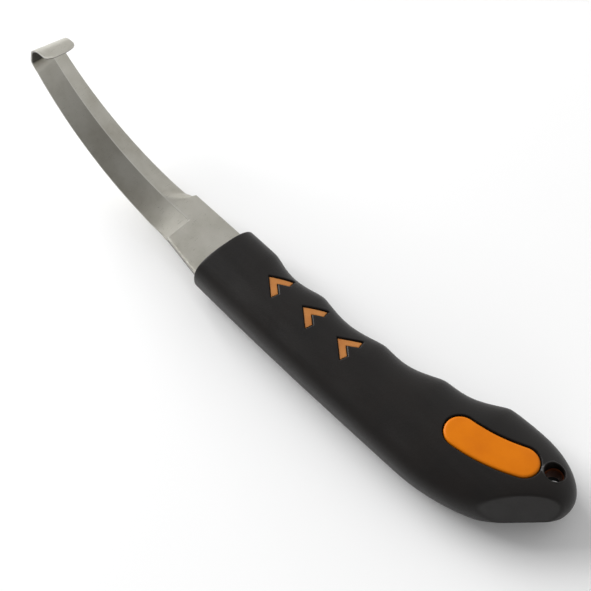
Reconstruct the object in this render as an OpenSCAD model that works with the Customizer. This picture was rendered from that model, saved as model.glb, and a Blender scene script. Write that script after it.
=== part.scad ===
// Hoof knife: a hooked, double-edged blade whose tang is locked inside a two-colour moulded handle.
//
// Knife frame: X runs along the blade, with x = 0 at the handle's front face and the tip towards +X.
// Y runs across the blade, with y = 0 on its centre line and the handle's straight spine towards +Y.
// Z is up from the surface that the knife lies on. Each node is placed with place(), which puts the
// middle of the finished knife's base at [0, 0, 0].

/* [Handle] */
// Length of the handle from its front face to its butt
handle_len = 130; // [127:1:134]
// Thickness of the handle from side to side
handle_t = 16; // [15:0.5:18]
// Distance from the blade's centre line to the straight spine of the handle
spine_y = 12.7; // [12.6:0.1:13.2]
// Width of the handle at its front face
front_w = 23; // [22.5:0.1:24]
// How far the belly of the handle drops from the front to the palm swell
palm_drop = 14; // [13.5:0.1:15]
// Squareness of the handle's rounded cross-section (2 is an ellipse)
section_n = 2.7; // [2.4:0.1:3.2]
// Depth of the finger grooves
groove_depth = 1.9; // [1:0.1:2.2]
// Depth of the ridge between the two heel facets below the round of the butt
heel_cut = 1; // [0.6:0.1:1.4]
// Wall thickness of the soft grip sleeve
sleeve_t = 2.2; // [2:0.1:2.4]

/* [Windows in the sleeve] */
// Half of the width of the palm pads
pad_r = 5.1; // [4.7:0.1:5.2]
// Radius of the gentle arc that each palm pad follows
pad_bend_r = 52; // [34:1:70]
// Distance from one chevron to the next
chevron_pitch = 14.5; // [12:0.5:15]
// Width of a chevron's arms, measured along the handle
chevron_arm_w = 3.6; // [3:0.1:4]
// How deep the chevrons lie below the surface of the sleeve
chevron_recess = 0.5; // [0.3:0.1:0.8]

/* [Hang hole] */
// Radius of the bore through the core
hang_r = 2.6; // [2.3:0.1:2.8]
// Radius of the opening in the sleeve
hang_mouth_r = 3; // [2.9:0.1:3.2]

/* [Blade] */
// Thickness of the blade steel
steel_t = 2.5; // [2.2:0.1:3]
// Width of the ricasso where it enters the handle
ricasso_w = 19.4; // [18.8:0.1:19.8]
// Width of the cutting part where it leaves the ricasso
blade_w = 15; // [14.4:0.1:15.5]
// Width of the cutting part where the hook begins
tip_w = 11.1; // [10.5:0.1:12.5]
// Radius of the flatwise curve of the blade
blade_r = 70; // [65:1:80]
// Thickness of the two ground edges
edge_t = 0.4; // [0.3:0.1:0.6]

/* [Hidden] */

$fn = 48;
far = 400;                        // longer than any cut has to reach
mid_z = handle_t / 2;             // height of the core's parting plane and of the middle of the steel

// Outline of the handle
front_relief = 1;                 // how much the spine runs in towards the blade at the front
front_relief_len = 57;
spine_bend_x = -85;               // where the straight spine turns into the round butt
belly_bend_x = -110;              // where the palm swell turns into the round butt
belly_front_y = spine_y - front_relief - front_w;
palm_low_y = belly_front_y - palm_drop;
crests = [                        // the ends of the four finger grooves
    [-12, belly_front_y],
    [-33, belly_front_y],
    [-57, belly_front_y - 1.5],
    [-77.3, belly_front_y - 6],
    [-97, belly_front_y - 13.2]];
last_crest = crests[len(crests) - 1];
groove_power = 1.2;               // above 1, the crests between the grooves are soft
butt_y = palm_low_y + 11.4;       // distance across the handle of the butt's hindmost point
butt_round = 20;                  // length over which the thickness closes at the butt
butt_n = 2;                       // squareness of the cross-section at the butt
butt_n_len = 35;                  // length over which the section turns rounder towards the butt
front_edge_r = 0.5;               // rounding of the sleeve's front rim
front_slant = 1.5;                // how far the front rim leans back on the belly side
front_slant_len = 20;             // length over which that slant fades out
egg = 0.08;                       // how much thinner the belly side is than the spine side

// Rings that the handle's surface is swept through
ring_n = 28;
ring_step = 2.5;
last_even_x = -113;
butt_rings = 8;

// Palm pads, chevrons, hang hole and heel
pad_front = [36.6 - handle_len, butt_y + 7.4]; // middle of a pad's front end
pad_rear = [17.7 - handle_len, butt_y + 1.5];  // middle of a pad's rear end
chevron_apex = [-18.1, -2.5];     // apex of the first chevron
chevron_ends = [[-6, -4.7], [-5.8, 4.7]]; // outer ends of its arms from its apex, belly and spine sides
chevron_end_slant = 0.6;          // how far back an arm's end slants
chevron_count = 3;
hang_xy = [9.5 - handle_len, butt_y - 3];
hang_lining = 0.7;                // wall of the sleeve's lining round the hole
hang_lining_depth = 5.4;          // depth to which the sleeve lines the hole from either side
heel_angle = 137;                 // direction that the heel facets face, from +X
heel_tilt = 36;                   // how far each facet leans back from the ridge between them

// Tang and the bosses that lock it in the core
ricasso_in = 2;                   // length of the ricasso inside the sleeve, in front of the tang
tang_w = 11;
tang_end_w = 8;
tang_len = 76;
lock_x = [-22, -58];
lock_boss_r = 2.2;
lock_tang_r = 2.5;
lock_socket_r = 2.25;
lock_reach = 3;                   // how far a boss reaches past the parting plane
lock_end_gap = 0.4;
lock_root = 3;                    // how far a boss reaches into its own half of the core

// Ricasso and bevels
ricasso_front_w = 16.6;
ricasso_mid_y = [0.9, -0.4];      // middle of the ricasso's width at the handle and at its front
notch_x = 21.2;                   // front corner of the ricasso on the belly side
bevel_spine_x = 15.6;             // end of the spine-side bevel's grind
bevel_belly_x = 23.4;             // end of the belly-side bevel's grind
ridge_y = -1;                    // distance of the ridge between the bevels from the centre line
bend_x = 21;                      // where the flatwise curve starts

// Hook: a foot that curls up, a standing wall and a turned-over flange. In each pair of values the
// first is at the belly side and the second is at the spine side, where the curl is wider.
curl_a = 50;                      // slope at which the blade's curve turns into the hook's foot
wall_a = 100;                     // slope of the standing wall
flange_a = 176;                   // slope of the flange
hook_foot_r = [4, 6.5];
hook_wall = [1, 4];
hook_top_r = [4, 5];
hook_flange = [2.5, 3.5];
tip_t = 1.5;                      // thickness of the steel at the ridge where the hook begins
hook_t = 1.1;                     // thickness of the steel along the hook
flange_w = 12.3;
flange_corner = 1.6;              // how much the flange's end corners draw in

// ---------------------------------------------------------------------------- handle surface ---

// Distance of the spine and belly edges from the centre line at x, on a shape inset by d
function spine_edge(x, d) =
    x > spine_bend_x
    ? spine_y - front_relief * pow(max(0, 1 + x / front_relief_len), 2) - d
    : butt_y + (spine_y - butt_y - d) * round_end(x, spine_bend_x, d);
function belly_edge(x, d) =
    x > last_crest[0] ? grooved_edge(x) + d
    : x > belly_bend_x ? palm_edge(x) + d
    : butt_y - (butt_y - palm_low_y - d) * round_end(x, belly_bend_x, d);
function palm_edge(x) =
    palm_low_y + (last_crest[1] - palm_low_y) * pow((x - belly_bend_x) / (last_crest[0] - belly_bend_x), 2);
function round_end(x, from, d) = sqrt(max(0, 1 - pow((from - x) / (handle_len + from - d), 2)));

// Belly edge along the finger grooves: straight from crest to crest, less a hollow in between
function grooved_edge(x) =
    x > crests[0][0] ? crests[0][1]
    : [for (i = [0 : len(crests) - 2])
        if (x <= crests[i][0] && x > crests[i + 1][0]) one_groove(x, crests[i], crests[i + 1])][0];
function one_groove(x, from, to) =
    let (s = (from[0] - x) / (from[0] - to[0]))
    from[1] + (to[1] - from[1]) * s + groove_depth * pow(sin(180 * s), groove_power);

function half_thickness(x, d) =
    let (u = min(1, max(0, (butt_round - handle_len - x) / (butt_round - d))))
    (handle_t / 2 - d) * pow(1 - pow(u, section_n), 1 / section_n);

// One ring of the handle at x: a squared ellipse, inset by d and drawn in all round by s
function ring(x, d, s) =
    let (
        y1 = spine_edge(x, d) - s,
        y0 = belly_edge(x, d) + s,
        half_z = half_thickness(x, d) - s,
        n = section_n + (butt_n - section_n) * min(1, max(0, (butt_n_len - handle_len - x) / butt_n_len)),
        slant = front_slant * max(0, 1 + x / front_slant_len))
    [for (k = [0 : ring_n - 1])
        let (
            a = 360 * k / ring_n,
            y = (y0 + y1) / 2 + (y1 - y0) / 2 * squared(cos(a), n),
            towards_belly = (y1 - y) / (y1 - y0))
        [x - slant * towards_belly, y,
            mid_z + half_z * squared(sin(a), n) * (1 + egg / 4 - egg * pow(towards_belly, 2))]];
function squared(v, n) = sign(v) * pow(abs(v), 2 / n);

// Solid of the handle inset by d: rings from the front rim to the butt's hindmost point
module handle_shape(d) {
    even_from = -d - front_edge_r;
    even_n = ceil((even_from - last_even_x) / ring_step);
    butt_len = handle_len - d + last_even_x;
    rim = [for (a = [0, 30, 60]) ring(-d - front_edge_r * (1 - cos(a)), d, front_edge_r * (1 - sin(a)))];
    even = [for (i = [0 : even_n]) ring(even_from + (last_even_x - even_from) * i / even_n, d, 0)];
    butt = [for (i = [1 : butt_rings - 1]) ring(last_even_x - butt_len * sin(90 * i / butt_rings), d, 0)];
    sweep(concat(rim, even, butt), [-handle_len + d, butt_y, mid_z]);
}

// Closed solid through rings of equal length, from a flat first ring to an apex
module sweep(rings, apex) {
    n = len(rings[0]);
    m = len(rings);
    polyhedron(
        points = concat([for (r = rings) each r], [apex]),
        faces = concat(
            [[for (k = [0 : n - 1]) n - 1 - k]],
            [for (i = [0 : m - 2], k = [0 : n - 1])
                let (k2 = (k + 1) % n, a = i * n + k, b = i * n + k2, c = (i + 1) * n + k2, e = (i + 1) * n + k)
                each [[a, b, e], [b, c, e]]],
            [for (k = [0 : n - 1]) [(m - 1) * n + k, (m - 1) * n + (k + 1) % n, m * n]]),
        convexity = 6);
}

// Everything beyond the heel's two facets, or beyond planes that lie deeper in the handle by d
module beyond_heel(d) {
    reach = norm([(handle_len + spine_bend_x) * cos(heel_angle), (spine_y - butt_y) * sin(heel_angle)]);
    translate([spine_bend_x, butt_y, mid_z]) rotate(heel_angle) translate([reach - heel_cut, 0, 0])
        for (side = [-1, 1]) rotate([0, side * heel_tilt, 0]) translate([-d, -far / 2, -far / 2]) cube(far);
}

module handle_outer() {
    difference() {
        handle_shape(0);
        beyond_heel(0);
    }
}

// --------------------------------------------------------------------------- windows, hang hole ---

// Outline of a bean-shaped palm pad: a band along an arc, with round ends
module pad_outline() {
    chord = norm(pad_rear - pad_front);
    across = [pad_front[1] - pad_rear[1], pad_rear[0] - pad_front[0]] / chord;
    middle = (pad_front + pad_rear) / 2 + across * sqrt(pow(pad_bend_r, 2) - pow(chord / 2, 2));
    for (end = [pad_front, pad_rear]) translate(end) circle(pad_r);
    translate(middle) intersection() {
        difference() {
            circle(pad_bend_r + pad_r);
            circle(pad_bend_r - pad_r);
        }
        polygon([[0, 0], (pad_front - middle) * 2, (pad_rear - middle) * 2]);
    }
}

// Inner end of a chevron's arm: its inner edge runs parallel to the outer one
function chevron_inner_end(end) =
    let (back = end[0] - chevron_end_slant)
    [back, end[1] * (back + chevron_arm_w) / end[0]];

module chevrons_outline() {
    for (i = [0 : chevron_count - 1])
        translate(chevron_apex - [i * chevron_pitch, 0])
            polygon([
                [0, 0], chevron_ends[1], chevron_inner_end(chevron_ends[1]),
                [-chevron_arm_w, 0], chevron_inner_end(chevron_ends[0]), chevron_ends[0]]);
}

module through() {
    translate([0, 0, mid_z]) linear_extrude(far, center = true) children();
}

module hang_cylinder(r) {
    translate([hang_xy[0], hang_xy[1], mid_z]) cylinder(r = r, h = far, center = true);
}

// Room that the core leaves for the sleeve's lining of the hang hole
module hang_lining_room() {
    half_core = handle_t / 2 - hang_lining_depth;
    difference() {
        hang_cylinder(hang_mouth_r + hang_lining);
        translate([hang_xy[0], hang_xy[1], mid_z])
            cylinder(r = far, h = 2 * half_core, center = true);
    }
}

// ---------------------------------------------------------------------------------- handle core ---

module core_solid() {
    difference() {
        union() {
            handle_shape(sleeve_t);
            intersection() {
                handle_shape(0);
                through() pad_outline();
            }
            intersection() {
                handle_shape(chevron_recess);
                through() chevrons_outline();
            }
        }
        hang_lining_room();
        beyond_heel(sleeve_t);
    }
}

module core_half(side) {
    difference() {
        intersection() {
            core_solid();
            translate([-far / 2, -far / 2, side > 0 ? mid_z : mid_z - far]) cube(far);
        }
        steel(0);
        hang_cylinder(hang_r);
    }
}

module lock_bosses(r, reach) {
    for (x = lock_x) translate([x, 0, mid_z - reach]) cylinder(r = r, h = reach + lock_root);
}

module core_right() {
    color("darkorange") {
        core_half(1);
        lock_bosses(lock_boss_r, lock_reach);
    }
}

module core_left() {
    color("darkorange") difference() {
        core_half(-1);
        lock_bosses(lock_socket_r, lock_reach + lock_end_gap);
    }
}

// --------------------------------------------------------------------------------- grip sleeve ---

module grip_sleeve() {
    color("#2d2a28") difference() {
        handle_outer();
        difference() {
            handle_shape(sleeve_t);
            hang_lining_room();
            beyond_heel(sleeve_t);
        }
        through() pad_outline();
        through() chevrons_outline();
        steel(0);
        hang_cylinder(hang_mouth_r);
    }
}

// ---------------------------------------------------------------------------------------- blade ---

// Ricasso and tang in plan, from the notch on the belly side round to the tang and back
module steel_outline() {
    rear = [for (side = [-1, 1]) ricasso_mid_y[0] + side * ricasso_w / 2];
    front = [for (side = [-1, 1]) ricasso_mid_y[1] + side * ricasso_front_w / 2];
    polygon([
        [bevel_belly_x, ridge_y - 0.2], [bevel_belly_x - 0.3, -blade_w / 4], [bevel_belly_x - 1.2, 0.4 - blade_w / 2],
        [notch_x + 0.4, -blade_w / 2 - 0.5], [notch_x, front[0] + 0.6], [notch_x - 0.8, front[0]],
        [-ricasso_in, rear[0]], [-ricasso_in, -tang_w / 2], [-tang_len, -tang_end_w / 2],
        [-tang_len, tang_end_w / 2], [-ricasso_in, tang_w / 2], [-ricasso_in, rear[1]],
        [bevel_spine_x, front[1]], [bevel_spine_x + 0.6, ridge_y - 0.2]]);
}

module steel(hole_r) {
    translate([0, 0, mid_z]) difference() {
        linear_extrude(steel_t, center = true) steel_outline();
        if (hole_r > 0) for (x = lock_x) translate([x, 0, 0]) cylinder(r = hole_r, h = far, center = true);
    }
}

function mix(a, b, t) = a + (b - a) * t;

// Middle line of the blade's flatwise curve at slope a, as [x, z]
function blade_point(a) = [bend_x + blade_r * sin(a), mid_z + blade_r * (1 - cos(a))];

// Step from slope a to slope b along an arc of radius r, as [x, z]
function arc_step(r, a, b) = r * [sin(b) - sin(a), cos(a) - cos(b)];

// Hook's middle line at fraction v across the strip (0 belly, 1 spine)
function foot_point(v, a) = blade_point(curl_a) + arc_step(mix(hook_foot_r[0], hook_foot_r[1], v), curl_a, a);
function wall_point(v, s) =
    foot_point(v, wall_a) + mix(hook_wall[0], hook_wall[1], v) * s * [cos(wall_a), sin(wall_a)];
function top_point(v, a) = wall_point(v, 1) + arc_step(mix(hook_top_r[0], hook_top_r[1], v), wall_a, a);
function flange_point(v, s) =
    top_point(v, flange_a) + mix(hook_flange[0], hook_flange[1], v) * s * [cos(flange_a), sin(flange_a)];

// Cross-section of the strip: a flat underside and two bevels that meet at the ridge.
// at(v) gives the middle line at fraction v across; a is its slope, w its width, t its thickness.
function strip_ring(points, a, w, t, edge) =
    let (up = [-sin(a), cos(a)], low = -t / 2)
    [for (q = [[0, low], [0, low + edge], [1, t / 2], [2, low + edge], [2, low]])
        let (p = points[q[0]] + up * q[1], y = [-w / 2, ridge_y, w / 2][q[0]])
        [p[0], y, p[1]]];
function across(fn) = [fn(0), fn(0.5), fn(1)];

module ground_blade() {
    start_x = bevel_spine_x - 3;
    flat = [for (x = [start_x, bend_x])
        strip_ring(across(function (v) [x, mid_z + 0.03]), 0, blade_w, steel_t - 0.1, edge_t)];
    curve = [for (i = [1 : 16])
        let (s = i / 16)
        strip_ring(across(function (v) blade_point(curl_a * s)), curl_a * s,
            mix(blade_w, tip_w, s), mix(steel_t - 0.1, tip_t, s), edge_t)];
    foot = [for (i = [1 : 6])
        let (s = i / 6, a = mix(curl_a, wall_a, s))
        strip_ring(across(function (v) foot_point(v, a)), a,
            mix(tip_w, flange_w, s), mix(tip_t, hook_t, s), mix(edge_t, hook_t * 0.8, s))];
    wall = [strip_ring(across(function (v) wall_point(v, 1)), wall_a, flange_w, hook_t, hook_t * 0.8)];
    top = [for (i = [1 : 8])
        let (a = mix(wall_a, flange_a, i / 8))
        strip_ring(across(function (v) top_point(v, a)), a, flange_w, hook_t, hook_t * 0.8)];
    flange = [for (s = [0.6, 0.85, 1])
        strip_ring(across(function (v) flange_point(v, s)), flange_a,
            flange_w - 2 * flange_corner * pow(max(0, s - 0.5) * 2, 3), hook_t, hook_t * 0.8)];
    all_rings = concat(flat, curve, foot, wall, top, flange);
    end = all_rings[len(all_rings) - 1];
    middle = (end[0] + end[2] + end[4]) / 3;
    sweep(all_rings, middle + 0.3 * [cos(flange_a), 0, sin(flange_a)]);
}

module blade() {
    color("#a8a69c") union() {
        steel(lock_tang_r);
        ground_blade();
    }
}

// ------------------------------------------------------------------------------------- assembly ---

hook_outer = foot_point(1, 90) + [hook_t / 2, 0];
origin = [
    (hook_outer[0] - handle_len) / 2,
    (spine_y + palm_low_y) / 2,
    0];

module place() {
    translate(-origin) children();
}

place() blade();
place() core_right();
place() core_left();
place() grip_sleeve();
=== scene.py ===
"""Looks of the hoof knife: a ground steel blade in a black soft-grip handle with orange lands."""

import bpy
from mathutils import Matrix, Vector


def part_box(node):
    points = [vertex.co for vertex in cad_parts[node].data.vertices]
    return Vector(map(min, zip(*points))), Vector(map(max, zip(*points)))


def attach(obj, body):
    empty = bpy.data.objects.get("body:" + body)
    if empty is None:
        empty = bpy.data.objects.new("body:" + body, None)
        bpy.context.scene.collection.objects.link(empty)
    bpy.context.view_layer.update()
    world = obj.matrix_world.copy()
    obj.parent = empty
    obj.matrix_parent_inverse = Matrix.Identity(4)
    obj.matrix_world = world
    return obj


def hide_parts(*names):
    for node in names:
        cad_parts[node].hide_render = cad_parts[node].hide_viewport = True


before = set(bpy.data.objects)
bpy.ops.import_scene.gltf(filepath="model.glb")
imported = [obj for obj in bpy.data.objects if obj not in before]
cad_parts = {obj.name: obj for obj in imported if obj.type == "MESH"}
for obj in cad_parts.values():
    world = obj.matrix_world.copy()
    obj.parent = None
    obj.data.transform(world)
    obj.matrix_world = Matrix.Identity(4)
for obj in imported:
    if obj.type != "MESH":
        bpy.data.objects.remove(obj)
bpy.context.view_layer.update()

import math

import bpy
import numpy as np
from mathutils import Matrix, Vector

# ------------------------------------------------------------------------------------------ frame
# Lengths below are in millimetres in the knife's own frame: x = 0 at the handle's front face and
# the tip towards +x, y = 0 on the blade's centre line and the spine towards +y, z up.

MM = 0.001
HANDLE_LEN, HANDLE_T, SPINE_Y = 130.0, 16.0, 12.7
MID_Z = HANDLE_T / 2
sleeve_low, sleeve_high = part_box("grip_sleeve")
ORIGIN = np.array([sleeve_high.x, sleeve_high.y - SPINE_Y * MM, sleeve_low.z])


def to_row(points):
    return np.asarray(points, float) * MM + ORIGIN


def smooth(t):
    t = np.clip(t, 0, 1)
    return t * t * (3 - 2 * t)


def mix(a, b, t):
    return a + (b - a) * t


# ----------------------------------------------------------------------------------- handle shape

FRONT_W, FRONT_RELIEF, RELIEF_LEN = 23.0, 1.0, 57.0
PALM_DROP, BUTT_RISE = 14.0, 11.4
BELLY_Y = SPINE_Y - FRONT_RELIEF - FRONT_W
PALM_Y = BELLY_Y - PALM_DROP
BUTT_Y = PALM_Y + BUTT_RISE
SPINE_BEND, BELLY_BEND = -85.0, -110.0
CRESTS = np.array([[-12, BELLY_Y], [-33, BELLY_Y], [-57, BELLY_Y - 1.5],
                   [-77.3, BELLY_Y - 6], [-97, BELLY_Y - 13.2]])
GROOVE, GROOVE_POWER, BUTT_ROUND, EGG, RIM_R = 1.9, 1.2, 20.0, 0.08, 0.5
FRONT_SLANT, SLANT_LEN = 1.5, 20.0
SECTION_N, BUTT_N_LOSS, BUTT_N_LEN = 2.7, 0.7, 35.0    # squareness, and its loss towards the butt
HEEL_ANGLE, HEEL_TILT, HEEL_CUT, HEEL_CREASE = math.radians(137), math.radians(36), 1.0, 0.5


def round_end(x, start):
    return np.sqrt(np.clip(1 - ((start - x) / (HANDLE_LEN + start)) ** 2, 0, 1))


def spine_edge(x):
    front = SPINE_Y - FRONT_RELIEF * np.clip(1 + x / RELIEF_LEN, 0, None) ** 2
    rear = BUTT_Y + (SPINE_Y - BUTT_Y) * round_end(np.minimum(x, SPINE_BEND), SPINE_BEND)
    return np.where(x > SPINE_BEND, front, rear)


def belly_edge(x):
    grooved = np.full(np.shape(x), CRESTS[0, 1])
    for a, b in zip(CRESTS[:-1], CRESTS[1:]):
        s = np.clip((a[0] - x) / (a[0] - b[0]), 0, 1)
        hollow = a[1] + (b[1] - a[1]) * s + GROOVE * np.sin(np.pi * s) ** GROOVE_POWER
        grooved = np.where((x <= a[0]) & (x > b[0]), hollow, grooved)
    last = CRESTS[-1]
    palm = PALM_Y + (last[1] - PALM_Y) * ((x - BELLY_BEND) / (last[0] - BELLY_BEND)) ** 2
    rear = BUTT_Y - (BUTT_Y - PALM_Y) * round_end(np.minimum(x, BELLY_BEND), BELLY_BEND)
    return np.where(x > last[0], grooved, np.where(x > BELLY_BEND, palm, rear))


def soft_belly_edge(x):
    """The belly edge with its crests eased, as a soft moulding has them."""
    reach, spread = 1.8, 1.1
    steps = np.linspace(-reach, reach, 9)
    weights = np.exp(-(steps / spread) ** 2)
    eased = sum(w * belly_edge(x + s) for w, s in zip(weights, steps)) / weights.sum()
    butt_end, fade = -118, 8
    return mix(belly_edge(x), eased, smooth((x - butt_end) / fade))


def half_thickness(x):
    u = np.clip((BUTT_ROUND - HANDLE_LEN - x) / BUTT_ROUND, 0, 1)
    return HANDLE_T / 2 * (1 - u**SECTION_N) ** (1 / SECTION_N)


def squareness(x):
    return SECTION_N - BUTT_N_LOSS * np.clip((BUTT_N_LEN - HANDLE_LEN - x) / BUTT_N_LEN, 0, 1)


def section(x):
    """Middle, half width and half thickness of the handle's section at x."""
    spine, belly = spine_edge(x), soft_belly_edge(x)
    return (spine + belly) / 2, (spine - belly) / 2, half_thickness(x)


def lift(u, x):
    """Share of the half thickness at fraction u across the section."""
    n = squareness(x)
    towards_belly = (1 - u) / 2
    return np.clip(1 - np.abs(u) ** n, 0, 1) ** (1 / n) * (1 + EGG / 4 - EGG * towards_belly**2)


def skin_z(x, y, side):
    """Height of the handle's surface over the plan position x, y."""
    middle, half_w, half_t = section(x)
    u = np.clip((y - middle) / np.maximum(half_w, 1e-6), -1, 1)
    return MID_Z + side * half_t * lift(u, x)


def skin_normal(x, y, side):
    step = 0.05
    dx = (skin_z(x + step, y, side) - skin_z(x - step, y, side)) / (2 * step)
    dy = (skin_z(x, y + step, side) - skin_z(x, y - step, side)) / (2 * step)
    n = np.stack([-dx, -dy, np.ones_like(dx)], -1) * side
    return n / np.linalg.norm(n, axis=-1, keepdims=True)


def heel_facets(points):
    """Presses what is beyond the heel's two facets back onto them, with softened creases."""
    m = np.array([math.cos(HEEL_ANGLE), math.sin(HEEL_ANGLE)])
    reach = math.hypot((HANDLE_LEN + SPINE_BEND) * m[0], (SPINE_Y - BUTT_Y) * m[1])
    ridge = np.array([SPINE_BEND, BUTT_Y]) + (reach - HEEL_CUT) * m
    for side in (1, -1):
        n = np.array([*(m * math.cos(HEEL_TILT)), side * math.sin(HEEL_TILT)])
        beyond = (points - np.array([*ridge, MID_Z])) @ n
        h = np.clip(0.5 - 0.5 * beyond / HEEL_CREASE, 0, 1)
        points = points + ((beyond * h - HEEL_CREASE * h * (1 - h)) - beyond)[..., None] * n
    return points


# ---------------------------------------------------------------- outlines of the windows and hole

PAD_R, PAD_BEND = 5.1, 52.0
PAD_FRONT, PAD_REAR = np.array([-93.4, -6.5]), np.array([-112.3, -12.4])
PAD_CHORD = PAD_REAR - PAD_FRONT
PAD_ACROSS = np.array([-PAD_CHORD[1], PAD_CHORD[0]]) / np.linalg.norm(PAD_CHORD)
PAD_APOTHEM = math.sqrt(PAD_BEND**2 - (np.linalg.norm(PAD_CHORD) / 2) ** 2)
PAD_MIDDLE = (PAD_FRONT + PAD_REAR) / 2 + PAD_ACROSS * PAD_APOTHEM
PAD_A0, PAD_A1 = (math.atan2(*(p - PAD_MIDDLE)[::-1]) for p in (PAD_FRONT, PAD_REAR))

CHEVRON_APEX, CHEVRON_PITCH, CHEVRON_COUNT = np.array([-18.1, -2.5]), 14.5, 3
CHEVRON_ENDS, CHEVRON_W, CHEVRON_SLANT = ((-6.0, -4.7), (-5.8, 4.7)), 3.6, 0.6

HOLE, HOLE_R, BORE_R, LIP_R = np.array([-120.5, -16.9]), 3.0, 2.6, 0.4
LINING = 5.4                      # depth to which the sleeve lines the hang hole
LINING_R = 3.7                    # outer radius of that lining
SHADE_FULL_DEPTH = 0.12                # depth in a window at which the painted shade, the rubber's sheen taken away, is full

# Windows in the sleeve: gap round the land, rounding of the rim, depth, and width of the wall
PAD_WINDOW = (0.22, 0.4, 1.7, 0.4)
CHEVRON_WINDOW = (0.12, 0.3, 1.5, 0.4)


def pad_distance(x, y):
    """Signed distance to a palm pad's outline, negative inside."""
    dx, dy = x - PAD_MIDDLE[0], y - PAD_MIDDLE[1]
    angle = np.arctan2(dy, dx)
    on_arc = np.abs(np.hypot(dx, dy) - PAD_BEND)
    ends = np.minimum(np.hypot(x - PAD_FRONT[0], y - PAD_FRONT[1]),
                      np.hypot(x - PAD_REAR[0], y - PAD_REAR[1]))
    inside = (angle >= min(PAD_A0, PAD_A1)) & (angle <= max(PAD_A0, PAD_A1))
    return np.where(inside, on_arc, ends) - PAD_R


def chevron_corners(i):
    inner = []
    for x, y in CHEVRON_ENDS:
        back = x - CHEVRON_SLANT
        inner.append([back, y * (back + CHEVRON_W) / x])
    return CHEVRON_APEX - [i * CHEVRON_PITCH, 0] + np.array([
        [0, 0], CHEVRON_ENDS[1], inner[1], [-CHEVRON_W, 0], inner[0], CHEVRON_ENDS[0]])


def polygon_distance(x, y, corners):
    """Signed distance to a polygon, negative inside."""
    best, inside = np.full(np.shape(x), 1e9), np.zeros(np.shape(x), bool)
    for a, b in zip(corners, np.roll(corners, -1, axis=0)):
        e = b - a
        t = np.clip(((x - a[0]) * e[0] + (y - a[1]) * e[1]) / (e @ e), 0, 1)
        best = np.minimum(best, np.hypot(x - a[0] - t * e[0], y - a[1] - t * e[1]))
        crosses = (a[1] > y) != (b[1] > y)
        at = a[0] + (y - a[1]) / np.where(e[1] == 0, 1e-9, e[1]) * e[0]
        inside ^= crosses & (x < at)
    return np.where(inside, -best, best)


def window_drop(d, gap, round_r, depth, wall):
    """How far the sleeve falls away at distance d outside a land's outline."""
    t = np.clip((gap + round_r - d) / round_r, 0, 1)
    return round_r * (1 - np.sqrt(1 - t**2)) + np.clip((gap - d) / wall, 0, 1) * (depth - round_r)


def sleeve_drop(x, y):
    drop = window_drop(pad_distance(x, y), *PAD_WINDOW)
    for i in range(CHEVRON_COUNT):
        distance = polygon_distance(x, y, chevron_corners(i))
        drop = np.maximum(drop, window_drop(distance, *CHEVRON_WINDOW))
    return drop


# ------------------------------------------------------------------------------------ mesh helpers


def make_object(name, points, faces, material,
                uv=None, sharp=None, attributes=None, smooth_angle=None):
    """A mesh object from points in knife millimetres."""
    mesh = bpy.data.meshes.new(name)
    mesh.from_pydata([tuple(p) for p in to_row(points)], [], [tuple(f) for f in faces])
    mesh.validate()
    mesh.shade_smooth()
    for key, values in (attributes or {}).items():
        layer = mesh.attributes.new(key, "FLOAT", "POINT")
        layer.data.foreach_set("value", np.asarray(values, np.float32))
    if uv is not None:
        layer = mesh.uv_layers.new(name="along")
        corner = np.empty(len(mesh.loops), np.int32)
        mesh.loops.foreach_get("vertex_index", corner)
        layer.data.foreach_set("uv", np.asarray(uv, np.float32)[corner].ravel())
    if smooth_angle is not None:
        mesh.set_sharp_from_angle(angle=math.radians(smooth_angle))
    if sharp is not None:
        for edge in mesh.edges:
            if sharp(*edge.vertices):
                edge.use_edge_sharp = True
    obj = bpy.data.objects.new(name, mesh)
    bpy.context.scene.collection.objects.link(obj)
    obj.data.materials.append(material)
    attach(obj, "root")
    return obj


def grid_faces(rows, closed=False, flip=False):
    """Quads between rows of vertex numbers."""
    faces = []
    for a, b in zip(rows[:-1], rows[1:]):
        n = len(a)
        for k in range(n if closed else n - 1):
            q = (a[k], a[(k + 1) % n], b[(k + 1) % n], b[k])
            faces.append(q[::-1] if flip else q)
    return faces


class Builder:
    """Collects points and faces."""

    def __init__(self):
        self.points, self.faces = [], []
        self.count = 0

    def add(self, points):
        points = np.asarray(points, float).reshape(-1, 3)
        self.points.append(points)
        ids = np.arange(self.count, self.count + len(points))
        self.count += len(points)
        return ids

    def quads(self, a, b, closed=False, flip=False):
        self.faces += grid_faces([a, b], closed=closed, flip=flip)

    def all_points(self):
        return np.concatenate(self.points)


# --------------------------------------------------------------------------------------- materials


def node_material(name, base, rough, metallic=0.0, specular=0.5):
    material = bpy.data.materials.new(name)
    material.use_nodes = True
    nodes = material.node_tree.nodes
    shader = nodes["Principled BSDF"]
    shader.inputs["Base Color"].default_value = (*base, 1)
    shader.inputs["Roughness"].default_value = rough
    shader.inputs["Metallic"].default_value = metallic
    shader.inputs["Specular IOR Level"].default_value = specular
    return material, nodes, material.node_tree.links, shader


def mapped_noise(nodes, links, source, scale, noise_scale, detail, rough):
    mapping = nodes.new("ShaderNodeMapping")
    mapping.inputs["Scale"].default_value = scale
    links.new(source, mapping.inputs["Vector"])
    noise = nodes.new("ShaderNodeTexNoise")
    noise.inputs["Scale"].default_value = noise_scale
    noise.inputs["Detail"].default_value = detail
    noise.inputs["Roughness"].default_value = rough
    links.new(mapping.outputs["Vector"], noise.inputs["Vector"])
    return noise.outputs["Fac"]


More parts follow.
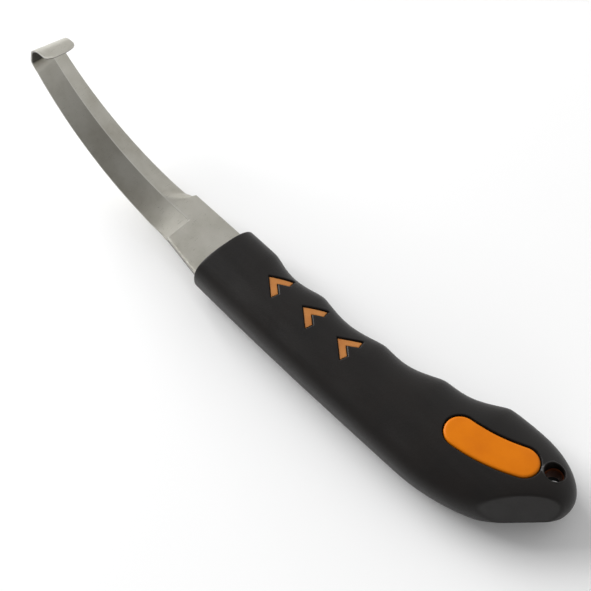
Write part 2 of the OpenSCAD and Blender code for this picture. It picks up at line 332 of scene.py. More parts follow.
def ramp(nodes, links, fac, stops):
    node = nodes.new("ShaderNodeValToRGB")
    elements = node.color_ramp.elements
    while len(elements) > 1:
        elements.remove(elements[-1])
    for i, (position, colour) in enumerate(stops):
        element = elements[0] if i == 0 else elements.new(position)
        element.position = position
        element.color = (*colour, 1)
    links.new(fac, node.inputs["Fac"])
    return node.outputs["Color"]


def grey(v):
    return (v, v, v)


def ranged(nodes, links, fac, low, high):
    """Spreads the middle of a 0 to 1 value, where noise mostly lies, over low to high."""
    node = nodes.new("ShaderNodeMapRange")
    node.inputs["From Min"].default_value, node.inputs["From Max"].default_value = 0.3, 0.7
    node.inputs["To Min"].default_value, node.inputs["To Max"].default_value = low, high
    links.new(fac, node.inputs["Value"])
    return node.outputs["Result"]


def bump(nodes, links, height, strength, distance, before=None):
    node = nodes.new("ShaderNodeBump")
    node.inputs["Strength"].default_value = strength
    node.inputs["Distance"].default_value = distance
    links.new(height, node.inputs["Height"])
    if before is not None:
        links.new(before, node.inputs["Normal"])
    return node.outputs["Normal"]


def steel_material():
    material, nodes, links, shader = node_material("ground_steel", (0.6, 0.59, 0.55), 0.3, metallic=1.0)
    uv = nodes.new("ShaderNodeUVMap")
    uv.uv_map = "along"
    obj = nodes.new("ShaderNodeTexCoord").outputs["Object"]
    grind = mapped_noise(nodes, links, uv.outputs["UV"], (9.0, 0.28, 1), 1.0, 4.0, 0.6)
    fine = mapped_noise(nodes, links, uv.outputs["UV"], (34.0, 0.5, 1), 1.0, 2.0, 0.5)
    cloud = mapped_noise(nodes, links, obj, (1, 1, 1), 75.0, 4.0, 0.6)
    colour = ramp(nodes, links, cloud, [(0.3, (0.38, 0.36, 0.31)), (0.5, (0.46, 0.445, 0.395)),
                                        (0.72, (0.52, 0.505, 0.455))])
    # scale: a near-black tint on the unground sides of the plate, and as painted shade over the inside of
    # the hook's curl.
    # wear_and_highlight: a lighter tint on the edges, the ridge and the shoulder, partly wear and partly
    # painted highlight.
    for name, tint in (("wear_and_highlight", (0.66, 0.65, 0.62)), ("scale", (0.03, 0.028, 0.03))):
        share = nodes.new("ShaderNodeAttribute")
        share.attribute_name = name
        mixed = nodes.new("ShaderNodeMixRGB")
        mixed.inputs["Color2"].default_value = (*tint, 1)
        links.new(share.outputs["Fac"], mixed.inputs["Fac"])
        links.new(colour, mixed.inputs["Color1"])
        colour = mixed.outputs["Color"]
    links.new(colour, shader.inputs["Base Color"])
    links.new(ranged(nodes, links, grind, 0.26, 0.42), shader.inputs["Roughness"])
    normal = bump(nodes, links, grind, 0.12, 0.0002)
    normal = bump(nodes, links, fine, 0.08, 0.0001, normal)
    links.new(normal, shader.inputs["Normal"])
    return material


def rubber_material():
    sheen, shaded_recess_specular = 0.25, 0.02
    material, nodes, links, shader = node_material("soft_black_grip", (0.0086, 0.0074, 0.0068), 0.4,
                                                   specular=sheen)
    obj = nodes.new("ShaderNodeTexCoord").outputs["Object"]
    grain = mapped_noise(nodes, links, obj, (1, 1, 1), 2600.0, 3.0, 0.6)
    cloud = mapped_noise(nodes, links, obj, (1, 1, 1), 60.0, 3.0, 0.6)
    scuff = mapped_noise(nodes, links, obj, (60, 420, 420), 1.0, 4.0, 0.7)
    links.new(ramp(nodes, links, cloud, [(0.3, (0.0076, 0.0067, 0.0063)), (0.7, (0.0102, 0.0082, 0.0072))]),
              shader.inputs["Base Color"])
    links.new(ranged(nodes, links, scuff, 0.34, 0.43), shader.inputs["Roughness"])
    links.new(bump(nodes, links, grain, 0.35, 0.00012), shader.inputs["Normal"])
    # Painted shade: in the windows and the hang hole the rubber's specular level falls, standing in for the
    # shade there.
    recess = nodes.new("ShaderNodeAttribute")
    recess.attribute_name = "recess"
    links.new(ranged(nodes, links, recess.outputs["Fac"], sheen, shaded_recess_specular),
              shader.inputs["Specular IOR Level"])
    return material


def orange_material(name, light, dark, rough, specular):
    material, nodes, links, shader = node_material(name, light, rough, specular=specular)
    obj = nodes.new("ShaderNodeTexCoord").outputs["Object"]
    cloud = mapped_noise(nodes, links, obj, (1, 1, 1), 130.0, 4.0, 0.55)
    grain = mapped_noise(nodes, links, obj, (1, 1, 1), 1500.0, 2.0, 0.5)
    scuff = mapped_noise(nodes, links, obj, (90, 700, 500), 1.0, 3.0, 0.7)
    links.new(ramp(nodes, links, cloud, [(0.32, dark), (0.66, light)]), shader.inputs["Base Color"])
    links.new(ranged(nodes, links, scuff, rough - 0.06, rough + 0.08), shader.inputs["Roughness"])
    links.new(bump(nodes, links, grain, 0.12, 0.0001), shader.inputs["Normal"])
    return material


STEEL = steel_material()
RUBBER = rubber_material()
ORANGE = orange_material("orange_core", (0.68, 0.18, 0.001), (0.62, 0.155, 0.001), 0.42, 0.14)
# The chevrons: the orange core, rougher, with a paler and greyer colour that is partly a painted
# reflection.
ORANGE_MATT_PAINTED_SHEEN = orange_material("orange_core_recessed_painted_sheen", (0.52, 0.21, 0.05), (0.42, 0.15, 0.03), 0.5, 0.3)
# The hang hole's wall: the orange core darkened to deep red as painted shade.
ORANGE_SHADED = orange_material("orange_core_hole_shaded", (0.2, 0.045, 0.004), (0.14, 0.03, 0.003), 0.55, 0.2)

# --------------------------------------------------------------------------------------- grip sleeve


def across_steps():
    """Fractions across the section from the spine edge (+1) to the belly edge (-1)."""
    even = 0.76                       # the steps are even up to here and close up beyond it
    inner = np.linspace(even, -even, 93)
    side = np.sin(np.linspace(math.pi / 2, math.asin(even), 17)[:-1])
    return np.concatenate([side, inner, -side[::-1]])


def ring_stations():
    """Places along the handle where its rings stand: closer together at the windows."""
    last_even, butt_len = 125, 17
    butt_start = 113
    parts = [np.arange(-RIM_R, -12, -0.75), np.arange(-12, -57, -0.33), np.arange(-57, -86.5, -0.8),
             np.arange(-86.5, -last_even, -0.3)]
    turn = np.linspace(math.asin((last_even - butt_start) / butt_len), math.pi / 2, 38)[1:-1]
    return np.concatenate(parts + [-butt_start - butt_len * np.sin(turn)])


def build_sleeve():
    u = across_steps()
    stations = ring_stations()
    k_n = len(u)
    b = Builder()

    def slanted(x, towards_belly):
        return x - FRONT_SLANT * np.maximum(0, 1 + x / SLANT_LEN) * towards_belly

    def ring_points(x, inset=0.0):
        middle, half_w, half_t = section(np.array(x))
        half_w, half_t = half_w - inset, half_t - inset
        y = middle + half_w * u
        z = half_t * lift(u, np.array(x))
        top = np.stack([slanted(x, (1 - u) / 2), y, MID_Z + z], -1)
        low = np.stack([slanted(x, (1 - u) / 2), y, MID_Z - z], -1)
        return np.concatenate([top, low[1:-1][::-1]])

    # the plan grid of one face: a block of a by c cells round the hang hole is left out, and the
    # cells about it, out to reach times that block, are drawn in to the hole's lip
    plan_x = np.repeat(stations[:, None], k_n, 1)
    middle, half_w, _ = section(stations)
    plan_y = middle[:, None] + half_w[:, None] * u[None, :]
    ic = int(np.argmin(np.abs(stations - HOLE[0])))
    kc = int(np.argmin(np.abs(plan_y[ic] - HOLE[1])))
    a, c, reach = 11, 15, 1.5
    lip_r = HOLE_R + LIP_R
    ii, kk = np.meshgrid(np.arange(len(stations)), np.arange(k_n), indexing="ij")
    m = np.maximum(np.abs(ii - ic) / a, np.abs(kk - kc) / c)
    ring_zone = (m >= 1) & (m < reach)
    dx, dy = plan_x - HOLE[0], plan_y - HOLE[1]
    rho = np.hypot(dx, dy)
    w = (reach - m) / (reach - 1)
    new_rho = (1 - w) * rho + w * lip_r * m
    scale = np.where(ring_zone, new_rho / np.maximum(rho, 1e-9), 1)
    plan_x = HOLE[0] + dx * scale
    plan_y = HOLE[1] + dy * scale
    in_hole = m < 1

    # both faces, lifted to the surface and let down at the windows
    window_reach = 0.93               # no window comes nearer to the spine or belly edge
    faces_points = []
    for side in (1, -1):
        z = skin_z(plan_x, plan_y, side)
        p = np.stack([slanted(plan_x, (1 - u[None, :]) / 2), plan_y, z], -1)
        normal = skin_normal(plan_x, plan_y, side)
        drop = sleeve_drop(plan_x, plan_y) * (np.abs(u)[None, :] < window_reach)
        faces_points.append(heel_facets(p - normal * drop[..., None]))

    # vertex numbers of the rings: top face then the lower face, without its two shared edges
    top = np.full((len(stations), k_n), -1)
    low = np.full((len(stations), k_n), -1)
    top_ok = ~in_hole
    top[top_ok] = b.add(faces_points[0][top_ok])
    low_ok = ~in_hole
    low_ok[:, [0, -1]] = False
    low[low_ok] = b.add(faces_points[1][low_ok])
    low[:, 0], low[:, -1] = top[:, 0], top[:, -1]
    for grid, flip in ((top, True), (low, False)):
        for i in range(len(stations) - 1):
            for k in range(k_n - 1):
                q = (grid[i, k], grid[i, k + 1], grid[i + 1, k + 1], grid[i + 1, k])
                if min(q) < 0 or (abs(i + 0.5 - ic) < a and abs(k + 0.5 - kc) < c):
                    continue
                b.faces.append(q[::-1] if not flip else q)

    # butt apex
    apex = b.add([[-HANDLE_LEN, BUTT_Y, MID_Z]])[0]
    last = np.concatenate([top[-1], low[-1, 1:-1][::-1]])
    for k in range(len(last)):
        b.faces.append((last[k], last[(k + 1) % len(last)], apex))

    # front rim, front face and the wall of the blade's slot
    previous = np.concatenate([top[0], low[0, 1:-1][::-1]])
    for angle in np.radians([72, 54, 36, 18, 0]):
        ring = b.add(ring_points(-RIM_R * (1 - math.cos(angle)), RIM_R * (1 - math.sin(angle))))
        b.quads(ring, previous, closed=True)
        previous = ring
    rim = ring_points(0.0, RIM_R)
    slot_half_t, slot_half_w, slot_mid_y, slot_n = 1.34, 9.85, 0.9, 14
    slot_z = slot_half_t * np.clip(1 - np.abs(u) ** slot_n, 0, 1) ** (1 / slot_n)
    slot_y = slot_mid_y + slot_half_w * u
    slot_belly = (spine_edge(np.array(0.0)) - slot_y) / FRONT_W
    slot_top = np.stack([-FRONT_SLANT * slot_belly, slot_y, MID_Z + slot_z], -1)
    slot_low = slot_top * [1, 1, -1] + [0, 0, 2 * MID_Z]
    slot = np.concatenate([slot_top, slot_low[1:-1][::-1]])
    dish_depth, lip_at, lip_depth = 0.25, 0.95, 0.3
    for t in (0.15, 0.35, 0.6, 0.85, lip_at, 1.0):
        dish = dish_depth * math.sin(math.pi * min(t / lip_at, 1)) + (lip_depth if t == 1.0 else 0)
        ring = b.add(mix(rim, slot, t) - [dish, 0, 0])
        b.quads(ring, previous, closed=True)
        previous = ring
    for depth in (1.2, 3.0):
        ring = b.add(slot - [depth, 0, 0])
        b.quads(ring, previous, closed=True)
        previous = ring
    b.faces.append(tuple(previous))

    # hang hole: rounded lips and the lining between them
    loop = [(ic - a, k) for k in range(kc - c, kc + c)]
    loop += [(i, kc + c) for i in range(ic - a, ic + a)]
    loop += [(ic + a, k) for k in range(kc + c, kc - c, -1)]
    loop += [(i, kc - c) for i in range(ic + a, ic - a, -1)]
    loop_i, loop_k = np.array(loop).T
    around = np.arctan2(plan_y[loop_i, loop_k] - HOLE[1], plan_x[loop_i, loop_k] - HOLE[0])
    ends = []
    for side, grid in ((1, top), (-1, low)):
        previous = grid[loop_i, loop_k]
        for angle in np.radians([15, 30, 45, 60, 75, 90]):
            r = lip_r - LIP_R * math.sin(angle)
            x, y = HOLE[0] + r * np.cos(around), HOLE[1] + r * np.sin(around)
            z = skin_z(x, y, side) - side * LIP_R * (1 - math.cos(angle))
            ring = b.add(np.stack([x, y, z], -1))
            b.quads(previous, ring, closed=True, flip=side > 0)
            previous = ring
        wall_z = z
        for t in (0.35, 0.7, 1.0):
            zz = mix(wall_z, MID_Z + side * (MID_Z - LINING), t)
            ring = b.add(np.stack([x, y, zz], -1))
            b.quads(previous, ring, closed=True, flip=side > 0)
            previous = ring
        ends.append(previous)
    b.quads(ends[0], ends[1], closed=True, flip=True)
    return b


def recess_shade(points):
    """How much painted shade each point of the sleeve gets, from 0 to 1: how far it lies inside a window or
    the hang hole.
    """
    from_hole = np.hypot(points[:, 0] - HOLE[0], points[:, 1] - HOLE[1])
    in_hole = np.clip((HOLE_R + LIP_R - from_hole) / LIP_R, 0, 1)
    return np.maximum(np.clip(sleeve_drop(points[:, 0], points[:, 1]) / SHADE_FULL_DEPTH, 0, 1), in_hole)


sleeve_mesh = build_sleeve()
sleeve_points = sleeve_mesh.all_points()
# The attribute recess carries the painted shade of the windows and the hang hole.
sleeve = make_object("grip_sleeve_skin", sleeve_points, sleeve_mesh.faces, RUBBER,
                     attributes={"recess": recess_shade(sleeve_points)})
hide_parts("grip_sleeve")

# -------------------------------------------------------------------------------- lands of the core


LAND_SINK = 0.02                  # how far the lands lie under the handle's surface


def build_pad(side):
    """A palm pad: loops that close in on the pad's curved middle line."""
    n_arc, n_cap = 56, 26
    arc = np.linspace(PAD_A0, PAD_A1, n_arc)
    line = PAD_MIDDLE + PAD_BEND * np.stack([np.cos(arc), np.sin(arc)], -1)
    out = np.stack([np.cos(arc), np.sin(arc)], -1)
    turn = np.sign(PAD_A1 - PAD_A0)
    flip = (side > 0) == (turn > 0)

    def cap(centre, start):
        angles = start + turn * np.linspace(0, math.pi, n_cap + 1)[1:-1]
        return [(centre, np.array([math.cos(t), math.sin(t)])) for t in angles]

    base = [(p, o) for p, o in zip(line, out)] + cap(line[-1], PAD_A1)
    base += [(p, -o) for p, o in zip(line[::-1], out[::-1])] + cap(line[0], PAD_A0 + math.pi)
    centres = np.array([p for p, _ in base])
    directions = np.array([d for _, d in base])
    edge_r, foot = 0.85, 2.4
    b = Builder()
    rings = [(PAD_R, foot), (PAD_R, edge_r + 0.3)]
    rings += [(PAD_R - edge_r * (1 - math.cos(t)), edge_r * (1 - math.sin(t)))
              for t in np.radians([0, 15, 30, 45, 60, 75, 90])]
    rings += [(r, 0.0) for r in np.linspace(PAD_R - edge_r, 0, 12)[1:-1]]
    loops = []
    for r, drop in rings:
        p = centres + directions * r
        z = skin_z(p[:, 0], p[:, 1], side)
        normal = skin_normal(p[:, 0], p[:, 1], side)
        point = np.column_stack([p, z]) - normal * (drop + LAND_SINK)
        if drop > edge_r:
            point[:, :2] = p
        loops.append(b.add(point))
    for outer, inner in zip(loops[:-1], loops[1:]):
        b.quads(outer, inner, closed=True, flip=flip)
    z = skin_z(line[:, 0], line[:, 1], side) - side * LAND_SINK
    spine = b.add(np.column_stack([line, z]))
    foot_ids, ids = loops[0], loops[-1]
    n = len(ids)
    first, second = ids[:n_arc], ids[n_arc + n_cap - 1: 2 * n_arc + n_cap - 1][::-1]
    b.faces += grid_faces([first, spine], flip=flip) + grid_faces([spine, second], flip=flip)
    for start, centre in ((n_arc - 1, spine[-1]), (2 * n_arc + n_cap - 2, spine[0])):
        for k in range(n_cap):
            q = (ids[(start + k) % n], ids[(start + k + 1) % n], centre)
            b.faces.append(q[::-1] if flip else q)
    b.faces.append(tuple(foot_ids[::-1] if not flip else foot_ids))
    return b


def build_chevron(i, side):
    """A bent bar, as a grid from one arm's end over the apex to the other arm's end."""
    corners = chevron_corners(i)
    front = [corners[5], corners[0], corners[1]]
    back = [corners[4], corners[3], corners[2]]
    eases = np.array([0, 0.035, 0.08, 0.14, 0.24])
    along = np.concatenate([eases, np.linspace(0.34, 1, 8)])
    along = np.concatenate([along, (2 - along[:-1])[::-1]])
    over = np.concatenate([[0, 0.06, 0.14, 0.25, 0.4], [0.6, 0.75, 0.86, 0.94, 1]])
    rows = []
    for t in along:
        j, f = (0, t) if t <= 1 else (1, t - 1)
        ahead, behind = mix(front[j], front[j + 1], f), mix(back[j], back[j + 1], f)
        rows.append([mix(ahead, behind, s) for s in over])
    plan = np.array(rows)
    x, y = plan[..., 0], plan[..., 1]
    inside = -polygon_distance(x, y, corners)
    inside[[0, -1], :] = 0
    inside[:, [0, -1]] = 0
    recess, edge_r, foot_depth = 0.42, 0.3, 2.2
    t = np.clip((edge_r - inside) / edge_r, 0, 1)
    drop = recess + edge_r * (1 - np.sqrt(1 - t**2))
    normal = skin_normal(x, y, side)
    top = np.stack([x, y, skin_z(x, y, side)], -1) - normal * drop[..., None]
    b = Builder()
    ids = b.add(top).reshape(x.shape)
    flip = side > 0
    b.faces += grid_faces(list(ids), flip=not flip)
    border = np.concatenate([ids[0, :-1], ids[:-1, -1], ids[-1, :0:-1], ids[:0:-1, 0]])
    points = b.all_points()[border]
    foot = points.copy()
    foot[:, 2] = skin_z(points[:, 0], points[:, 1], side) - side * foot_depth
    foot_ids = b.add(foot)
    b.quads(border, foot_ids, closed=True, flip=not flip)
    b.faces.append(tuple(foot_ids[::-1] if not flip else foot_ids))
    return b


def build_collar(side):
    """The core's wall of the hang hole, in one half of the core."""
    n, z_end, ease, seam = 72, MID_Z - LINING, 0.25, 0.02
    angles = np.linspace(0, 2 * math.pi, n, endpoint=False)
    profile = [(LINING_R, seam), (BORE_R, seam)]
    profile += [(BORE_R, 0.8), (BORE_R, 1.6), (BORE_R, z_end - ease),
                (BORE_R + ease * 0.3, z_end - ease * 0.3), (BORE_R + ease, z_end), (LINING_R, z_end)]
    b = Builder()
    rings = [b.add(np.column_stack([HOLE[0] + r * np.cos(angles), HOLE[1] + r * np.sin(angles),
                                    np.full(n, MID_Z + side * h)])) for r, h in profile]
    for p, q in zip(rings, rings[1:] + rings[:1]):
        b.quads(p, q, closed=True, flip=side > 0)
    return b


def joined(builders):
    points, faces, start = [], [], 0
    for b in builders:
        points.append(b.all_points())
        faces += [tuple(int(v) + start for v in f) for f in b.faces]
        start += b.count
    return np.concatenate(points), faces


for side, half in ((1, "right"), (-1, "left")):
    pad = build_pad(side)
    land = make_object("core_" + half + "_pad", pad.all_points(), pad.faces, ORANGE,
                       smooth_angle=40)
    collar = build_collar(side)
    wall = make_object("core_" + half + "_hole", collar.all_points(), collar.faces,
                       ORANGE_SHADED, smooth_angle=40)
    points, faces = joined([build_chevron(i, side) for i in range(CHEVRON_COUNT)])
    marks = make_object("core_" + half + "_chevrons", points, faces, ORANGE_MATT_PAINTED_SHEEN,
                        smooth_angle=40)
    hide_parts("core_" + half)
    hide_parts("core_" + half)
    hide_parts("core_" + half)

# --------------------------------------------------------------------------------------------- blade

PLATE_T, TIP_T, HOOK_T, EDGE_T = 2.5, 1.5, 1.1, 0.4
BLADE_W, TIP_W, FLANGE_W = 15.0, 11.1, 12.3
RIDGE_Y, BEND_X, BLADE_R = -1.0, 21.0, 70.0
SHOULDER_X, NOTCH_X = 15.6, 20.9
CURL_A, WALL_A, FLANGE_A = (math.radians(v) for v in (50, 100, 176))
FOOT_R, WALL_H, TOP_R, FLANGE_L = (4, 6.5), (1, 4), (4, 5), (2.5, 3.5)    # at the belly, at the spine
CHAMFER, CHAMFER_FADE = 0.1, 6
TANG_X, TANG_W = (-76, -4), (4.0, 5.5)                    # the tang's ends, and its half width there
RICASSO_X, SPINE_RUN, BELLY_RUN = -2, 17.6, 22.6          # where the ricasso's two edges start and end
RICASSO_SPINE, RICASSO_BELLY = (10.6, 7.9), (-8.8, -8.7)  # the edges' distances there
SHOULDER_STEP, SHOULDER_EASE, SHOULDER_DROP = 0.16, 5, 0.4
NOTCH_LEAD, NOTCH_LEN = 0.25, 0.9
GRIND_X, GRIND_SLANT, GRIND_LEN = 21.3, 5.2, 3.6          # where the belly bevel runs out
SINK, SINK_LEN = 0.16, 17                                 # how deep the spine bevel is hollow ground
HOOK_EDGE, FLANGE_TAPER, FLANGE_CORNER, FLANGE_LIP = 0.62, 3.74, 0.16, 0.82
# Edges and ridge are lightened, partly as wear and partly as painted highlight.
# Inside the hook the steel is darkened as painted shade.
EDGE_WEAR_AND_HIGHLIGHT, SHOULDER_WEAR, SIDE_SCALE, HOOK_SHADE = 0.5, 0.8, 0.75, 0.85


def blade_point(a):
    return np.array([BEND_X + BLADE_R * math.sin(a), MID_Z + BLADE_R * (1 - math.cos(a))])


def arc_step(r, a, b):
    return np.stack([r * (math.sin(b) - math.sin(a)), r * (math.cos(a) - math.cos(b))], -1)


def foot_point(v, a):
    return blade_point(CURL_A) + arc_step(mix(*FOOT_R, v), CURL_A, a)


def wall_point(v, s):
    step = (mix(*WALL_H, v) * s)[:, None] * [math.cos(WALL_A), math.sin(WALL_A)]
    return foot_point(v, WALL_A) + step


def top_point(v, a):
    return wall_point(v, 1) + arc_step(mix(*TOP_R, v), WALL_A, a)


def flange_point(v, s):
    step = (mix(*FLANGE_L, v) * s)[:, None] * [math.cos(FLANGE_A), math.sin(FLANGE_A)]
    return top_point(v, FLANGE_A) + step


def blade_stations():
    """(kind, parameter) along the blade from the tang's end to the flange's free edge."""
    tang = [TANG_X[0], -60, -40, -20, TANG_X[1] - 0.02]
    flat = [-4, -2, 0, 2, 4, 6, 8, 10, 12, 14, 15.0, SHOULDER_X - 0.12, SHOULDER_X,
            SHOULDER_X + SHOULDER_STEP, 16.1, 16.6, 17.4, 18.3, 19.2, 20.0, 20.4, 20.7, 20.9, 21.0]
    curve = list(np.linspace(0, 8, 26)[1:]) + list(np.linspace(8, 50, 60)[1:])
    return ([("tang", x) for x in tang] + [("flat", x) for x in flat]
            + [("curve", math.radians(a)) for a in curve]
            + [("foot", a) for a in np.linspace(CURL_A, WALL_A, 26)[1:]]
            + [("wall", s) for s in (0.25, 0.5, 0.75, 1)]
            + [("top", a) for a in np.linspace(WALL_A, FLANGE_A, 34)[1:]]
            + [("flange", s) for s in (0.15, 0.3, 0.45, 0.6, 0.72, 0.82, 0.9, 0.96, 1)])


def blade_edges(x):
    """Belly and spine edge of the ricasso and of the root of the blade."""
    spine = mix(*RICASSO_SPINE, np.clip((x - RICASSO_X) / SPINE_RUN, 0, 1))
    spine = spine - SHOULDER_DROP * smooth((x - SHOULDER_X) / SHOULDER_EASE)
    belly = mix(*RICASSO_BELLY, np.clip((x - RICASSO_X) / BELLY_RUN, 0, 1))
    notch = smooth((x - NOTCH_X + NOTCH_LEAD) / NOTCH_LEN)
    return mix(belly, -BLADE_W / 2, notch), spine


def build_blade():
    b = Builder()
    rows, lows, uvs, wear_and_highlight, scale = [], [], [], [], []
    belly_f = np.array([0, 0.035, 0.12, 0.25, 0.4, 0.55, 0.7, 0.82, 0.92, 1])
    spine_f = np.array([0.0, 0.018, 0.1, 0.2, 0.32, 0.45, 0.58, 0.7, 0.82, 0.92, 0.972, 1])
    n_belly = len(belly_f)
    total = 0.0
    last_middle = None
    for kind, t in blade_stations():
        if kind in ("tang", "flat"):
            a = 0.0
            belly, spine = blade_edges(np.array(float(t)))
            if kind == "tang":
                w = mix(*TANG_W, (t - TANG_X[0]) / (TANG_X[1] - TANG_X[0]))
                belly, spine = -w, w
            thick, edge = PLATE_T, EDGE_T
            x_here = t
        elif kind == "curve":
            a, s = t, t / CURL_A
            x_here = blade_point(a)[0]
            belly, spine = blade_edges(np.array(x_here))
            w = mix(BLADE_W, TIP_W, s) / 2
            ease = smooth(s * 8)
            belly, spine = mix(belly, -w, ease), mix(spine, w, ease)
            thick, edge = mix(PLATE_T, TIP_T, s), EDGE_T
        else:
            x_here = math.inf
            s_hook = (t - CURL_A) / (WALL_A - CURL_A) if kind == "foot" else 1.0
            a = {"foot": t, "wall": WALL_A, "top": t, "flange": FLANGE_A}[kind]
            w = mix(TIP_W, FLANGE_W, s_hook) / 2
            if kind == "flange":
                w -= FLANGE_TAPER * max(0, t - 0.5) ** 2
            belly, spine = -w, w
            thick, edge = mix(TIP_T, HOOK_T, s_hook), mix(EDGE_T, HOOK_T * HOOK_EDGE, s_hook)
        y = np.concatenate([belly + (RIDGE_Y - belly) * belly_f,
                            RIDGE_Y + (spine - RIDGE_Y) * spine_f[1:]])
        v = np.clip((y - belly) / (spine - belly), 0, 1)

        # heights of the top surface over the middle line
        low = -thick / 2
        plate = np.full(len(y), thick / 2)
        plate[0] -= CHAMFER
        plate[-1] -= CHAMFER
        rise = thick - edge
        belly_bevel = low + edge + rise * np.clip((y - belly) / (RIDGE_Y - belly), 0, 1)
        spine_bevel = low + edge + rise * np.clip((spine - y) / (spine - RIDGE_Y), 0, 1)
        on_belly = np.arange(len(y)) < n_belly
        ground_b, ground_s, sink = 1.0, 1.0, 0.0
        if kind == "tang":
            ground_b, ground_s = 0.0, 0.0
        elif kind in ("flat", "curve"):
            run = GRIND_X + (y - belly) / (RIDGE_Y - belly) * GRIND_SLANT
            ground_b = smooth((x_here - run) / GRIND_LEN)
            sink = SINK * (1 - smooth((x_here - SHOULDER_X) / SINK_LEN))
        if kind == "flat":
            ground_s = np.clip((x_here - SHOULDER_X) / SHOULDER_STEP, 0, 1)
        top = np.where(on_belly, mix(plate, belly_bevel, ground_b),
                       mix(plate, spine_bevel - sink, ground_s))
        top = np.maximum(top, low + edge * 0.9)

        # the middle line, which in the hook differs across the strip
        if kind in ("tang", "flat"):
            middle = np.tile([t, MID_Z], (len(y), 1)).astype(float)
        elif kind == "curve":
            middle = np.tile(blade_point(a), (len(y), 1))
        elif kind == "foot":
            middle = foot_point(v, a)
        elif kind == "wall":
            middle = wall_point(v, t)
        elif kind == "top":
            middle = top_point(v, a)
        else:
            middle = flange_point(v, t * (1 - FLANGE_CORNER * np.abs(2 * v - 1) ** 4))
            lip = smooth((t - FLANGE_LIP) / (1 - FLANGE_LIP))
            top = mix(top, 0.0, 0.55 * lip)
            low = mix(low, 0.0, 0.2 * lip)
        up = np.array([-math.sin(a), math.cos(a)])
        upper = middle + top[:, None] * up
        bottom = np.full(len(y), low)
        if kind in ("tang", "flat"):
            unground = 1 - np.clip((x_here - SHOULDER_X) / CHAMFER_FADE, 0, 1)
            bottom[[0, -1]] += CHAMFER * unground
        under = middle + bottom[:, None] * up
        centre = middle.mean(0)
        if last_middle is not None:
            total += np.linalg.norm(centre - last_middle)
        last_middle = centre
        rows.append(b.add(np.column_stack([upper[:, 0], y, upper[:, 1]])))
        lows.append(b.add(np.column_stack([under[:, 0], y, under[:, 1]])))
        uvs += [np.column_stack([np.full(len(y), total), y])] * 2
        # Lighter lines on the edges and the ridge: partly wear, partly painted highlight.
        worn_and_lit = np.zeros(len(y))
        blanked = np.zeros(len(y))
        if kind in ("tang", "flat"):
            blanked[[0, -1]] = SIDE_SCALE * unground
        else:
            worn_and_lit[[0, -1]] = EDGE_WEAR_AND_HIGHLIGHT
        if kind != "tang":
            worn_and_lit[n_belly - 1] = EDGE_WEAR_AND_HIGHLIGHT * np.clip((x_here - SHOULDER_X) / SHOULDER_STEP, 0, 1)
            if kind == "flat" and abs(x_here - SHOULDER_X) < 0.01:
                worn_and_lit[n_belly - 1:] = SHOULDER_WEAR
        # Painted shade: the inside of the hook's curl is darkened, from the foot's upper part over the
        # wall, top and flange.
        inside = HOOK_SHADE * (kind in ("wall", "top", "flange"))
        if kind == "foot":
            inside = HOOK_SHADE * smooth((math.degrees(a) - 78) / 14)
        wear_and_highlight += [worn_and_lit * (1 - inside), np.where(np.arange(len(y)) == n_belly - 1, 0, worn_and_lit)]
        scale += [np.full(len(y), inside), blanked]
    for r0, r1, l0, l1 in zip(rows[:-1], rows[1:], lows[:-1], lows[1:]):
        b.quads(r0, r1, flip=True)
        b.quads(l0, l1)
        b.faces.append((l0[0], r0[0], r1[0], l1[0])[::-1])
        b.faces.append((l0[-1], r0[-1], r1[-1], l1[-1]))
    for r, l, flip in ((rows[0], lows[0], False), (rows[-1], lows[-1], True)):
        for k in range(len(r) - 1):
            q = (r[k], r[k + 1], l[k + 1], l[k])
            b.faces.append(q[::-1] if flip else q)
    edges, ridge = set(), set()
    for r, l, (kind, _) in zip(rows, lows, blade_stations()):
        edges.update(int(p) for p in (r[0], r[-1], l[0], l[-1]))
        if kind in ("curve", "flat", "foot"):
            ridge.add(int(r[n_belly - 1]))
    tones = {"wear_and_highlight": np.concatenate(wear_and_highlight), "scale": np.concatenate(scale)}
    return b, np.concatenate(uvs), (edges, ridge), tones


blade_mesh, blade_uv, hard_lines, blade_tones = build_blade()


def is_hard(p, q):
    return any(p in line and q in line for line in hard_lines)


blade = make_object("blade_ground", blade_mesh.all_points(), blade_mesh.faces, STEEL,
                    uv=blade_uv, sharp=is_hard, smooth_angle=24, attributes=blade_tones)
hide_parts("blade")

# --------------------------------------------------------------------------- floor, lights and camera

scene = bpy.context.scene

FLOOR_HALF, FLOOR_Z = 3.0, -0.0002
floor_mesh = bpy.data.meshes.new("floor")
floor_corners = [(x * FLOOR_HALF, y * FLOOR_HALF, FLOOR_Z) for x, y in ((-1, -1), (1, -1), (1, 1), (-1, 1))]
floor_mesh.from_pydata(floor_corners, [], [(0, 1, 2, 3)])
floor = bpy.data.objects.new("floor", floor_mesh)
scene.collection.objects.link(floor)
floor.data.materials.append(node_material("pale_floor", grey(0.94), 0.9, specular=0.1)[0])

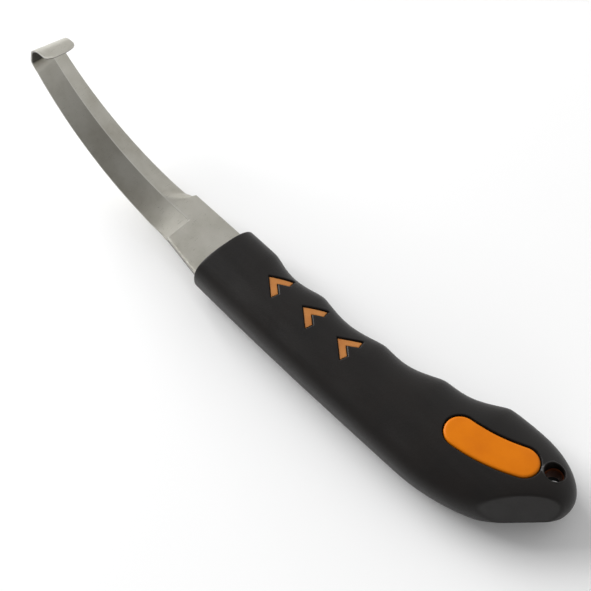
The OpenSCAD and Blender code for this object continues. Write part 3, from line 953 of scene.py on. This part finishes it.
world = bpy.data.worlds.new("studio")
scene.world = world
world.use_nodes = True
world_nodes, world_links = world.node_tree.nodes, world.node_tree.links
sky = world_nodes["Background"]
towards_pole = world_nodes.new("ShaderNodeVectorMath")
towards_pole.operation = "DOT_PRODUCT"
world_links.new(world_nodes.new("ShaderNodeTexCoord").outputs["Generated"], towards_pole.inputs[0])
towards_pole.inputs[1].default_value = Vector((-0.1, 0.45, 0.89)).normalized()
world_links.new(ramp(world_nodes, world_links, towards_pole.outputs["Value"],
                     [(0.0, grey(0.86)), (0.3, grey(0.7)), (0.6, grey(0.42)), (0.85, grey(0.33)),
                      (1.0, grey(0.3))]),
                sky.inputs["Color"])
sky.inputs["Strength"].default_value = 1.0

# The camera: where it stands and the point it looks at, in metres, its roll and its lens
CAMERA_AT, LOOK_AT = Vector((-0.24814, 0.23762, 0.61421)), Vector((0.00136, -0.00017, 0.008))
CAMERA_ROLL, LENS_MM, SENSOR_MM = math.radians(-0.33), 142.11, 36.0
camera_data = bpy.data.cameras.new("camera")
camera_data.sensor_width, camera_data.lens = SENSOR_MM, LENS_MM
camera = bpy.data.objects.new("camera", camera_data)
camera.matrix_world = (Matrix.Translation(CAMERA_AT)
                       @ (CAMERA_AT - LOOK_AT).to_track_quat("Z", "Y").to_matrix().to_4x4()
                       @ Matrix.Rotation(CAMERA_ROLL, 4, "Z"))
scene.collection.objects.link(camera)
scene.camera = camera


def soft_box(name, position, target, size, power):
    data = bpy.data.lights.new(name, "AREA")
    data.shape, data.size, data.size_y = "RECTANGLE", size[0], size[1]
    data.energy = power
    light = bpy.data.objects.new(name, data)
    light.location = position
    light.rotation_mode = "QUATERNION"
    light.rotation_quaternion = (position - target).to_track_quat("Z", "Y")
    scene.collection.objects.link(light)


LIT_POINT = Vector((0.003653, -0.0055, 0.008))
soft_box("key_box", Vector((1.45, 0.1, 0.7)), LIT_POINT, (1.3, 1.1), 40.0)
soft_box("heel_box", Vector((-0.95, 0.87, 0.33)), LIT_POINT, (0.6, 0.4), 2.2)

scene.view_settings.view_transform = "Standard"
